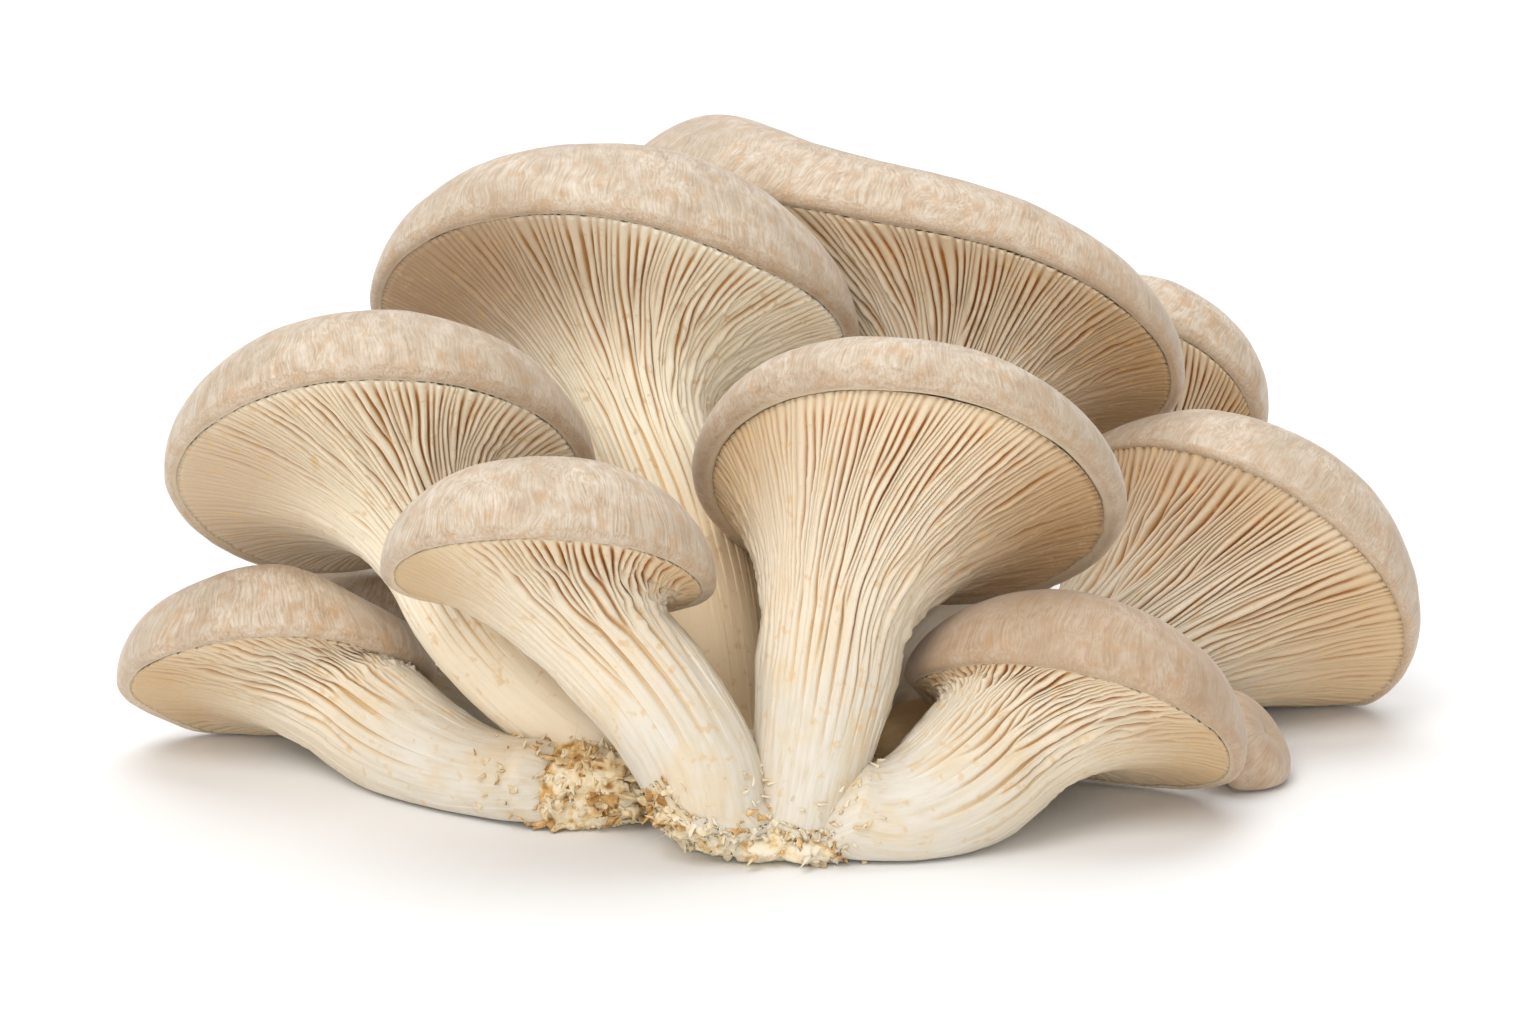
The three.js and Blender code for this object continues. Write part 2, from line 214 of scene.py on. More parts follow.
def directionsOf(m):
    up = unit(np.array(m["faces"], float))
    across = unit(np.array([1.0, 0, 0]) - up * up[0])
    near = np.cross(across, up)
    places = {key: np.array(m[key], float) + clusterShift for key in ("root", "bend", "neck", "eye")}
    middle = places["eye"] + across * (m["right"] - m["left"]) / 2 + near * (m["near"] - m["far"]) / 2
    return dict(up=up, across=across, near=near, tip=unit(places["neck"] - places["bend"]), middle=middle, **places)


def wavesAt(m, angle):
    lift, swell = np.zeros_like(angle), np.zeros_like(angle)
    for turn, spread, rise, bulge in m["waves"]:
        away = angle - math.radians(turn)
        share = np.exp(-(np.arctan2(np.sin(away), np.cos(away)) / math.radians(spread)) ** 2)
        lift, swell = lift + rise * share, swell + bulge * share
    return lift, swell


def flatRim(m, d, angle):
    c, s = np.cos(angle)[..., None], np.sin(angle)[..., None]
    return (d["eye"] + d["across"] * c * np.where(c > 0, m["right"], m["left"])
            + d["near"] * s * np.where(s > 0, m["near"], m["far"]))


def fleshPoint(m, d, angle, way):  # way 0 to 1 climbs the stem, 1 to 2 the trumpet of gills
    s = np.minimum(way, 1)[..., None]
    t = np.clip(way - 1, 0, 1)[..., None]
    line = (1 - s) ** 2 * d["root"] + 2 * s * (1 - s) * d["bend"] + s * s * d["neck"]
    tangent = unit((1 - s) * (d["bend"] - d["root"]) + s * (d["neck"] - d["bend"]))
    side = d["across"] * np.cos(angle)[..., None] + d["near"] * np.sin(angle)[..., None]
    axis = np.cross(d["up"], tangent)
    lean = np.cross(axis, side)
    side = side + lean + np.cross(axis, lean) / (1 + tangent @ d["up"])[..., None]
    low = line + side * mix(m["rootRadius"], m["neckRadius"], ease(0, 1, s))
    rim = flatRim(m, d, angle)
    high = rim + unit(rim - d["middle"]) * rimOverlap + d["up"] * wavesAt(m, angle)[0][..., None]
    height = ((d["eye"] - low) @ d["up"] / (d["tip"] @ d["up"]))[..., None]
    corner = low + d["tip"] * height * m["hollow"]
    return (1 - t) ** 2 * low + 2 * t * (1 - t) * corner + t * t * high


def fleshNormal(m, d, angle, way):
    step = 0.006
    along = fleshPoint(m, d, angle, np.minimum(way + step, 2)) - fleshPoint(m, d, angle, way - step)
    around = fleshPoint(m, d, angle + step, way) - fleshPoint(m, d, angle - step, way)
    return unit(np.cross(along, around))


def capPoint(m, d, angle, share, height, out=0.0):
    spoke = flatRim(m, d, angle) - d["middle"]
    length = np.linalg.norm(spoke, axis=-1)
    rise = height + wavesAt(m, angle)[0] * share * share
    return d["middle"] + spoke * (share + out / length)[..., None] + d["up"] * np.asarray(rise)[..., None]


def meshFromRings(name, rings, lowPole, highPole, attributes):
    rows, columns = rings.shape[:2]
    points = np.vstack([rings.reshape(-1, 3), lowPole, highPole]) * mm
    r, c = np.meshgrid(np.arange(rows - 1), np.arange(columns), indexing="ij")
    n = (c + 1) % columns
    quads = np.stack([r * columns + c, (r + 1) * columns + c, (r + 1) * columns + n, r * columns + n], -1).reshape(-1, 4)
    c = np.arange(columns)
    n = (c + 1) % columns
    first, last = rows * columns, (rows - 1) * columns
    fans = np.vstack([np.stack([np.full(columns, first), c, n], -1),
                      np.stack([last + c, np.full(columns, first + 1), last + n], -1)])
    mesh = bpy.data.meshes.new(name)
    mesh.vertices.add(len(points))
    mesh.vertices.foreach_set("co", points.astype(np.float32).ravel())
    corners = np.concatenate([quads.ravel(), fans.ravel()]).astype(np.int32)
    mesh.loops.add(len(corners))
    mesh.loops.foreach_set("vertex_index", corners)
    starts = np.concatenate([np.arange(len(quads)) * 4, len(quads) * 4 + np.arange(len(fans)) * 3]).astype(np.int32)
    mesh.polygons.add(len(starts))
    mesh.polygons.foreach_set("loop_start", starts)
    mesh.update(calc_edges=True)
    mesh.validate()
    mesh.shade_smooth()
    for key, values in attributes.items():
        kind, slot = ("FLOAT_VECTOR", "vector") if values[0].ndim == 3 else ("FLOAT", "value")
        flat = np.concatenate([values[0].reshape(rows * columns, -1), np.atleast_2d(values[1]).reshape(1, -1),
                               np.atleast_2d(values[2]).reshape(1, -1)])
        mesh.attributes.new(key, kind, "POINT").data.foreach_set(slot, flat.astype(np.float32).ravel())
    obj = bpy.data.objects.new(name, mesh)
    bpy.context.scene.collection.objects.link(obj)
    return obj


# relief tree: raises gills by the stored profile, wrinkles the surface, settles it on the table

reliefInputs = [("Gill Height", 0.002), ("Groove Share", 0.6), ("Edge Nicks", 0.0), ("Ripple", 0.0002),
                ("Ripple Size", 0.008), ("Wrinkle", 0.0), ("Wrinkle Size", 0.004), ("Grain", 0.00004),
                ("Grain Size", 0.0015), ("Settle", settleHeight * mm)]


def startTree(name, numbers):
    tree = bpy.data.node_groups.new(name, "GeometryNodeTree")
    tree.interface.new_socket("Geometry", in_out="INPUT", socket_type="NodeSocketGeometry")
    for label, value in numbers:
        tree.interface.new_socket(label, in_out="INPUT", socket_type="NodeSocketFloat").default_value = value
    tree.interface.new_socket("Seed", in_out="INPUT", socket_type="NodeSocketInt")
    tree.interface.new_socket("Finish", in_out="INPUT", socket_type="NodeSocketMaterial")
    tree.interface.new_socket("Geometry", in_out="OUTPUT", socket_type="NodeSocketGeometry")
    return tree, addNode(tree, "NodeGroupInput").outputs


def endTree(tree, geometry, finish):
    real = addNode(tree, "GeometryNodeRealizeInstances", inputs={"Geometry": geometry})
    dressed = addNode(tree, "GeometryNodeSetMaterial", inputs={"Geometry": real.outputs[0], "Material": finish})
    addNode(tree, "NodeGroupOutput", inputs={"Geometry": dressed.outputs[0]})
    return tree


def namedField(tree, name, kind="FLOAT"):
    return addNode(tree, "GeometryNodeInputNamedAttribute", {"data_type": kind}, {"Name": name}).outputs[0]


def settledPlace(tree, limit):  # heights under the limit are pressed up softly
    place = addNode(tree, "GeometryNodeInputPosition").outputs[0]
    parts = addNode(tree, "ShaderNodeSeparateXYZ", inputs={"Vector": place}).outputs
    pressed = calc(tree, "DIVIDE", calc(tree, "SUBTRACT", parts[2], limit), limit)
    pressed = calc(tree, "MULTIPLY", limit, calc(tree, "EXPONENT", calc(tree, "MINIMUM", pressed, 0.0)))
    height = calc(tree, "ADD", pressed, calc(tree, "MAXIMUM", calc(tree, "SUBTRACT", parts[2], limit), 0.0))
    return addNode(tree, "ShaderNodeCombineXYZ", inputs={"X": parts[0], "Y": parts[1], "Z": height}).outputs[0]


def makeReliefTree():
    tree, given = startTree("fleshRelief", reliefInputs)
    rib, tall = namedField(tree, "rib"), namedField(tree, "tall")
    outward = namedField(tree, "outward", "FLOAT_VECTOR")
    strand = calcVector(tree, "MULTIPLY", namedField(tree, "fibre", "FLOAT_VECTOR"), (mm, mm, 0.14 * mm))
    place = addNode(tree, "GeometryNodeInputPosition").outputs[0]

    def centred(vector, size, detail, rough):
        wave = noiseOf(tree, vector, calc(tree, "DIVIDE", 1.0, size), detail, rough, given["Seed"])
        return calc(tree, "SUBTRACT", wave, 0.5)

    fine = centred(place, given["Grain Size"], 2.0, 0.6)
    blade = calc(tree, "MULTIPLY", calc(tree, "MULTIPLY", given["Gill Height"], tall),
                 calc(tree, "SUBTRACT", rib, given["Groove Share"]))
    nicks = calc(tree, "MULTIPLY", calc(tree, "MULTIPLY", given["Edge Nicks"], rib),
                 calc(tree, "MULTIPLY", tall, fine))
    waves = calc(tree, "MULTIPLY", given["Ripple"], centred(place, given["Ripple Size"], 2.0, 0.5))
    wrinkles = calc(tree, "MULTIPLY", given["Wrinkle"], centred(strand, given["Wrinkle Size"], 2.0, 0.5))
    wrinkles = calc(tree, "MULTIPLY", wrinkles, namedField(tree, "loose"))
    grain = calc(tree, "MULTIPLY", given["Grain"], fine)
    rise = calc(tree, "ADD", calc(tree, "ADD", blade, nicks), calc(tree, "ADD", waves, grain))
    rise = calc(tree, "ADD", rise, wrinkles)
    pits = addNode(tree, "GeometryNodeStoreNamedAttribute", {"data_type": "FLOAT", "domain": "POINT"},
                   {"Geometry": given["Geometry"], "Name": "pit", "Value": fine}).outputs[0]
    moved = addNode(tree, "GeometryNodeSetPosition",
                    inputs={"Geometry": pits, "Offset": calcVector(tree, "SCALE", outward, rise)})
    laid = addNode(tree, "GeometryNodeSetPosition",
                   inputs={"Geometry": moved.outputs[0], "Position": settledPlace(tree, given["Settle"])})
    return endTree(tree, laid.outputs[0], given["Finish"])


# scatter tree: plants bent, pointed shreds on a torn surface

scatterInputs = [("Density", 1000000.0), ("Length", 0.003), ("Width", 0.0014), ("Flatness", 0.4), ("Lean", 0.8),
                 ("Bend", 0.3), ("Ragged", 0.0003), ("Settle", 0.0004)]


def randomOf(tree, low, high, seed, vector=False):
    node = addNode(tree, "FunctionNodeRandomValue", {"data_type": "FLOAT_VECTOR" if vector else "FLOAT"})
    first = 0 if vector else 2  # where the sockets of this kind of value stand
    feed(tree, node.inputs[first], low)
    feed(tree, node.inputs[first + 1], high)
    feed(tree, node.inputs["Seed"], seed)
    return node.outputs[0 if vector else 1]


def joined(tree, x, y, z):
    return addNode(tree, "ShaderNodeCombineXYZ", inputs={"X": x, "Y": y, "Z": z}).outputs[0]


def makeScatterTree():
    tree, given = startTree("tornScatter", scatterInputs)
    seeds = [calc(tree, "ADD", given["Seed"], float(i)) for i in range(4)]
    spots = addNode(tree, "GeometryNodeDistributePointsOnFaces", inputs={
        "Mesh": given["Geometry"], "Seed": given["Seed"],
        "Density": calc(tree, "MULTIPLY", given["Density"], namedField(tree, "torn"))}).outputs
    cone = addNode(tree, "GeometryNodeMeshCone", inputs={
        "Vertices": 5, "Side Segments": 3, "Radius Top": 0.06, "Radius Bottom": 0.5, "Depth": 1.0}).outputs["Mesh"]
    height = addNode(tree, "ShaderNodeSeparateXYZ", inputs={
        "Vector": addNode(tree, "GeometryNodeInputPosition").outputs[0]}).outputs[2]
    curl = calc(tree, "MULTIPLY", given["Bend"], calc(tree, "MULTIPLY", height, height))
    shred = addNode(tree, "GeometryNodeSetPosition", inputs={"Geometry": cone, "Offset": joined(tree, curl, 0.0, 0.0)})
    lean = given["Lean"]
    back = calc(tree, "MULTIPLY", lean, -1.0)
    tilt = randomOf(tree, joined(tree, back, back, 0.0), joined(tree, lean, lean, 6.283), seeds[1], True)
    turned = addNode(tree, "FunctionNodeRotateRotation", {"rotation_space": "LOCAL"}, {
        "Rotation": spots["Rotation"], "Rotate By": addNode(tree, "FunctionNodeEulerToRotation",
                                                            inputs={"Euler": tilt}).outputs[0]}).outputs[0]
    size = joined(tree, given["Width"], calc(tree, "MULTIPLY", given["Width"], given["Flatness"]), given["Length"])
    size = calcVector(tree, "SCALE", size, randomOf(tree, 0.4, 1.0, seeds[2]))
    planted = addNode(tree, "GeometryNodeInstanceOnPoints", inputs={
        "Points": spots["Points"], "Instance": shred.outputs[0], "Rotation": turned, "Scale": size})
    tinted = addNode(tree, "GeometryNodeStoreNamedAttribute", {"data_type": "FLOAT", "domain": "INSTANCE"}, {
        "Geometry": planted.outputs[0], "Name": "tint", "Value": randomOf(tree, 0.0, 1.0, seeds[3])})
    real = addNode(tree, "GeometryNodeRealizeInstances", inputs={"Geometry": tinted.outputs[0]})
    place = addNode(tree, "GeometryNodeInputPosition").outputs[0]
    jolt = addNode(tree, "ShaderNodeTexNoise", inputs={"Vector": place, "Scale": 700.0, "Detail": 1.0}).outputs["Color"]
    jolt = calcVector(tree, "SCALE", calcVector(tree, "SUBTRACT", jolt, (0.5, 0.5, 0.5)), given["Ragged"])
    ragged = addNode(tree, "GeometryNodeSetPosition", inputs={"Geometry": real.outputs[0], "Offset": jolt})
    laid = addNode(tree, "GeometryNodeSetPosition",
                   inputs={"Geometry": ragged.outputs[0], "Position": settledPlace(tree, given["Settle"])})
    return endTree(tree, laid.outputs[0], given["Finish"])


def growWith(obj, tree, values):  # runs a tree once and keeps its result as a plain mesh
    modifier = obj.modifiers.new(tree.name, "NODES")
    modifier.node_group = tree
    places = {item.name: item.identifier for item in tree.interface.items_tree if item.in_out == "INPUT"}
    for label, value in values.items():
        modifier[places[label]] = value
    graph = bpy.context.evaluated_depsgraph_get()
    plain = bpy.data.meshes.new_from_object(obj.evaluated_get(graph), preserve_all_data_layers=True, depsgraph=graph)
    obj.modifiers.clear()
    obj.data = plain
    return obj


# finishes

def startMaterial(name):
    material = bpy.data.materials.new(name)
    material.use_nodes = True
    tree = material.node_tree
    return material, tree, tree.nodes["Principled BSDF"]


def surfaceField(tree, name):
    return addNode(tree, "ShaderNodeAttribute", {"attribute_name": name}).outputs


def objectPlace(tree):
    return addNode(tree, "ShaderNodeTexCoord").outputs["Object"]


def makeCapSkin():
    material, tree, shader = startMaterial("capSkin")
    place = objectPlace(tree)
    fibre = surfaceField(tree, "fibre")["Vector"]
    rimward = surfaceField(tree, "rimward")["Fac"]
    swirl = addNode(tree, "ShaderNodeTexNoise", inputs={"Vector": place, "Scale": 65.0, "Detail": 2.0}).outputs["Color"]
    swirl = calcVector(tree, "SCALE", calcVector(tree, "SUBTRACT", swirl, (0.5, 0.5, 0.5)), 7.0)
    strand = calcVector(tree, "ADD", fibre, swirl)
    fine = noiseOf(tree, calcVector(tree, "MULTIPLY", strand, (3.4, 3.4, 0.34)), 1.0, 2.0, 0.6)
    short = noiseOf(tree, calcVector(tree, "MULTIPLY", strand, (0.75, 0.75, 0.26)), 1.0, 3.0, 0.6)
    cloud = noiseOf(tree, place, 300.0, 4.0, 0.6)
    both = calc(tree, "ADD", calc(tree, "MULTIPLY", fine, 0.42), calc(tree, "MULTIPLY", short, 0.24))
    both = calc(tree, "ADD", both, calc(tree, "MULTIPLY", cloud, 0.34))
    tone = rampOf(tree, both, [(0.37, hexColour("b1987d")), (0.46, hexColour("c4b098")),
                               (0.54, hexColour("d4c5b1")), (0.63, hexColour("e0d5c6"))])
    warm = rangeOf(tree, noiseOf(tree, place, 380.0, 3.0, 0.6), 0.5, 0.68)
    tone = blendOf(tree, calc(tree, "MULTIPLY", warm, 0.5), tone, hexColour("caa177"))
    grey = rangeOf(tree, noiseOf(tree, place, 70.0, 3.0, 0.55), 0.45, 0.66)
    tone = blendOf(tree, calc(tree, "MULTIPLY", grey, 0.36), tone, hexColour("a9967e"))
    # painted shade: the cap darkens towards its crown
    crown = rangeOf(tree, rimward, 0.8, 0.45)
    tone = blendOf(tree, calc(tree, "MULTIPLY", crown, 0.38), tone, hexColour("9b8469"))
    # painted shade from the stored cap attribute
    tone = blendOf(tree, surfaceField(tree, "paintedCapShade")["Fac"], tone, hexColour("a98460"))
    # darker lower margin: painted shade, partly the margin's own browner edge
    low = rangeOf(tree, rimward, 0.9, 1.15)
    tone = blendOf(tree, calc(tree, "MULTIPLY", low, 0.3), tone, hexColour("a58663"))
    inside = rangeOf(tree, rimward, 1.45, 1.75)
    tone = blendOf(tree, calc(tree, "MULTIPLY", inside, 0.7), tone, hexColour("e6d6b8"))
    feed(tree, shader.inputs["Base Color"], tone)
    feed(tree, shader.inputs["Roughness"], rangeOf(tree, both, 0.3, 0.7, 0.48, 0.62))
    bump = addNode(tree, "ShaderNodeBump", inputs={"Height": both, "Strength": 0.22, "Distance": 0.0004})
    feed(tree, shader.inputs["Normal"], bump.outputs[0])
    shader.inputs["Specular IOR Level"].default_value = 0.4
    shader.inputs["Subsurface Weight"].default_value = 0.1
    shader.inputs["Subsurface Radius"].default_value = (1.0, 0.6, 0.35)
    shader.inputs["Subsurface Scale"].default_value = 0.002
    shader.inputs["Sheen Weight"].default_value = 0.2
    return material


def makeGillFlesh():
    material, tree, shader = startMaterial("gillFlesh")
    place = objectPlace(tree)
    fibre = surfaceField(tree, "fibre")["Vector"]
    groove = surfaceField(tree, "groove")["Fac"]
    way = surfaceField(tree, "rimward")["Fac"]
    fine = noiseOf(tree, calcVector(tree, "MULTIPLY", fibre, (0.5, 0.5, 0.16)), 1.0, 5.0, 0.62)
    patch = noiseOf(tree, place, 110.0, 4.0, 0.6)
    stem = rampOf(tree, fine, [(0.32, hexColour("d2c5ae")), (0.45, hexColour("d8cebc")), (0.6, hexColour("ddd5c8"))])
    stem = blendOf(tree, calc(tree, "MULTIPLY", rangeOf(tree, patch, 0.48, 0.66), 0.4), stem, hexColour("dcc092"))
    crest = blendOf(tree, rangeOf(tree, way, 1.5, 2.0), hexColour("e2d4bd"), hexColour("decaac"))
    crest = blendOf(tree, calc(tree, "MULTIPLY", rangeOf(tree, patch, 0.5, 0.72), 0.3), crest, hexColour("d8b987"))
    tone = blendOf(tree, rangeOf(tree, way, 0.5, 1.1), stem, crest)
    # painted shade: the left and right flanks of the trumpet darker towards the rim, partly the gills' own tan
    flankShade = addNode(tree, "ShaderNodeSeparateXYZ", inputs={"Vector": calcVector(
        tree, "NORMALIZE", calcVector(tree, "MULTIPLY", fibre, (1.0, 1.0, 0.0)))}).outputs[0]
    flankShade = rangeOf(tree, calc(tree, "ABSOLUTE", flankShade), 0.45, 0.95)
    flankShade = calc(tree, "MULTIPLY", flankShade, rangeOf(tree, way, 1.2, 1.9))
    tone = blendOf(tree, calc(tree, "MULTIPLY", flankShade, 0.6), tone, hexColour("bb9868"))
    # painted light: flesh of some mushrooms lifted towards pale cream, their groove tone lighter too
    paintedLight = surfaceField(tree, "paintedLight")["Fac"]
    tone = blendOf(tree, paintedLight, tone, hexColour("fbf0d9"))
    # painted shade in the grooves between gills, darker and browner towards the rim
    grooveShadeTone = blendOf(tree, rangeOf(tree, way, 1.0, 1.8), hexColour("d6b077"), hexColour("ab7036"))
    grooveShadeTone = blendOf(tree, calc(tree, "MULTIPLY", paintedLight, 0.5), grooveShadeTone, hexColour("dcb274"))
    grooveShade = calc(tree, "MULTIPLY", rangeOf(tree, groove, 0.15, 0.95), rangeOf(tree, way, 0.6, 1.5, 0.45, 1.0))
    grooveShade = calc(tree, "MULTIPLY", grooveShade, rangeOf(tree, way, 1.9, 1.98, 1.0, 0.2))  # less painted shade where gills meet the lip
    tone = blendOf(tree, grooveShade, tone, grooveShadeTone)
    # painted shade: warm golden tone on the lower stems that sit behind others
    tone = blendOf(tree, surfaceField(tree, "goldTintAndShade")["Fac"], tone, hexColour("dcb06a"))
    # painted shade on one side of the gills near the rim
    tone = blendOf(tree, surfaceField(tree, "paintedGillShade")["Fac"], tone, hexColour("94662c"))
    specks = rangeOf(tree, noiseOf(tree, place, 480.0, 2.0, 0.5), 0.6, 0.72)
    tone = blendOf(tree, calc(tree, "MULTIPLY", specks, 0.5), tone, hexColour("d6b078"))
    feed(tree, shader.inputs["Base Color"], tone)
    bump = addNode(tree, "ShaderNodeBump", inputs={"Height": fine, "Strength": 0.2, "Distance": 0.0004})
    feed(tree, shader.inputs["Normal"], bump.outputs[0])
    shader.inputs["Roughness"].default_value = 0.5
    shader.inputs["Specular IOR Level"].default_value = 0.35
    shader.inputs["Subsurface Weight"].default_value = 0.25
    shader.inputs["Subsurface Radius"].default_value = (1.0, 0.95, 0.88)
    shader.inputs["Subsurface Scale"].default_value = 0.0012
    return material


def makeMycelium():
    material, tree, shader = startMaterial("mycelium")
    place = objectPlace(tree)
    tint = surfaceField(tree, "tint")["Fac"]
    grains = noiseOf(tree, place, 420.0, 4.0, 0.65)
    clouds = noiseOf(tree, place, 120.0, 3.0, 0.6)
    mixed = calc(tree, "ADD", calc(tree, "MULTIPLY", grains, 0.5), calc(tree, "MULTIPLY", clouds, 0.5))
    goldTintAndShade = rangeOf(tree, tint, 0.5, 1.0, -0.03, 0.16)
    aside = addNode(tree, "ShaderNodeSeparateXYZ", inputs={"Vector": place}).outputs[0]
    goldTintAndShade = calc(tree, "ADD", goldTintAndShade, rangeOf(tree, aside, -12 * mm, -20 * mm, 0.02, 0.09))  # the left clump is darker
    # painted shade: pits of the grain more golden-brown
    goldTintAndShade = calc(tree, "ADD", goldTintAndShade, rangeOf(tree, surfaceField(tree, "pit")["Fac"], 0.06, -0.16, 0.0, 0.15))
    mixed = calc(tree, "ADD", mixed, goldTintAndShade)
    tone = rampOf(tree, mixed, [(0.45, hexColour("ece0ca")), (0.57, hexColour("e8d6b2")), (0.68, hexColour("d6ae70")),
                                (0.8, hexColour("a8783e"))])
    feed(tree, shader.inputs["Base Color"], tone)
    bump = addNode(tree, "ShaderNodeBump", inputs={"Height": grains, "Strength": 0.5, "Distance": 0.0006})
    feed(tree, shader.inputs["Normal"], bump.outputs[0])
    shader.inputs["Roughness"].default_value = 0.7
    return material


def makeDarkFleck():
    material, tree, shader = startMaterial("darkFleck")
    grains = noiseOf(tree, objectPlace(tree), 600.0, 3.0, 0.6)
    feed(tree, shader.inputs["Base Color"], rampOf(tree, grains, [(0.35, hexColour("4a3a28")), (0.65, hexColour("94754a"))]))
    shader.inputs["Roughness"].default_value = 0.75
    return material


capSkin, gillFlesh, mycelium, darkFleck = makeCapSkin(), makeGillFlesh(), makeMycelium(), makeDarkFleck()
reliefTree, scatterTree = makeReliefTree(), makeScatterTree()
print("finishes and trees ready")


# stems with gills

gillStyle = dict(
    pitch=1.3,  # spacing at the rim, in millimetres
    height=1.6, grooveShare=0.6, nicks=1.2,
    groups=[(2, 1, 0, 2, 2), (2, 2, 0, 1, 2), (1, 2, 0, 2, 2), (2, 2, 0, 2, 1)],  # one long gill among shorter ones
    starts=[(0.35, 0.85), (0.85, 1.25), (1.2, 1.75)],  # where along the way long, middle and short gills begin
    thinCell=0.12,  # width left to a gill that has not begun
    across=(0.0, 0.1, 0.21, 0.5, 0.79, 0.9),  # columns over one gill, from groove to groove
    blade=(0.0, 0.1, 0.7, 1.0, 0.7, 0.1),
    ridge=(0.0, 0.08, 0.38, 1.0, 0.38, 0.08),
    stemRows=22, trumpetRows=46, rimEdge=1.1,
    weave=0.12, drift=[(7, 0.4), (3.3, 0.1)],  # how far gills wander, and how many wander together
    crispTurn=65, soft=0.3,  # the turn of the rim where gills stand tallest, and their share at the other side
    ripple=0.6, rippleSize=10.0, wrinkle=0.5, wrinkleSize=4.5, grain=0.28, grainSize=1.3,  # in millimetres
    tornReach=0.3,  # how far flakes go up a torn stem, along its way
    foot=0.6, footSteps=(0.96, 0.85, 0.65, 0.4, 0.18),  # length as a share of the radius, and its rings
)


def gillColumns(m, d, perimeter, ways):
    rng = np.random.default_rng(m["seed"])
    groups = int(round(perimeter / gillStyle["pitch"] / 5))
    kind = np.array(gillStyle["groups"])[rng.integers(0, len(gillStyle["groups"]), groups)].ravel()
    count = len(kind)
    begins = np.array(gillStyle["starts"])[kind]
    start = mix(begins[:, 0], begins[:, 1], rng.random(count))
    turn = 2 * np.pi * (np.arange(count) + 0.5) / count
    lines = fleshPoint(m, d, *np.broadcast_arrays(turn, ways[::-1, None]))  # from the rim down, one for each gill
    run = np.cumsum(np.linalg.norm(np.diff(lines, axis=0, prepend=lines[:1]), axis=-1), 0)
    usual = np.median(run[gillStyle["trumpetRows"] - 1])
    reached = [np.interp((2 - a) * usual, run[:, i], ways[::-1]) for i, a in enumerate(start)]
    start = np.where(kind > 0, np.clip(reached, 0.45, start), start)
    w = ways[:, None]
    shown = ease(start - 0.1, start + 0.16, w)
    cell = mix(gillStyle["thinCell"], 1.0, np.maximum(shown, kind == 0)) * (0.7 + 0.6 * rng.random(count))
    share = cell.reshape(len(ways), groups, -1)
    share = share / share.sum(2, keepdims=True)
    size = 0.8 + 0.4 * rng.random(groups)
    size = (size / size.sum())[:, None]
    low = np.cumsum(size, 0) - size + (np.cumsum(share, 2) - share) * size
    low, width = low.reshape(len(ways), count), (share * size).reshape(len(ways), count)
    turns = rng.random((3, count)) * 2 * np.pi
    sway = np.sin(6 * w + turns[0]) + 0.5 * np.sin(13 * w + turns[1])
    low = low + gillStyle["weave"] * np.minimum(width, np.roll(width, 1, 1)) * sway * ease(0.7, 1.3, w)
    for together, reach in gillStyle["drift"]:
        bends = 2 * np.pi * round(count / together) * low + 5 * w + rng.random() * 2 * np.pi
        low = low + reach / count * np.sin(bends) * ease(0.7, 1.3, w)
    high = np.roll(low, -1, 1)
    high[:, -1] += 1
    angle = 2 * np.pi * (low[:, :, None] + np.array(gillStyle["across"]) * (high - low)[:, :, None])
    profile = mix(np.array(gillStyle["ridge"]), np.array(gillStyle["blade"]), ease(0.9, 1.4, w)[:, :, None])
    uneven = 1 + (0.25 * np.sin(9 * w + turns[2]) + 0.18 * np.sin(23 * w + turns[0])) * ease(0.6, 1.2, w)
    rib = profile * (shown * uneven)[:, :, None]
    longShown = (shown * (kind == 0)).reshape(len(ways), groups, -1).sum(2)
    # groove marks the flesh between gills, where the finish paints shade
    groove = (1 - profile * shown[:, :, None]) * np.repeat(longShown, count // groups, 1)[:, :, None]
    crisp = ease(-0.4, 0.6, np.cos(angle - math.radians(m.get("crispTurn", gillStyle["crispTurn"]))))
    crisp = mix(m.get("soft", gillStyle["soft"]), 1.0, crisp)
    groove = groove * crisp
    tall = (ease(0.3, 1.15, w) * mix(1.0, 0.35, ease(1.7, 2.0, w)))[:, :, None] * crisp
    flat = (len(ways), -1)
    return [values.reshape(flat) for values in (angle, rib, tall, groove)]


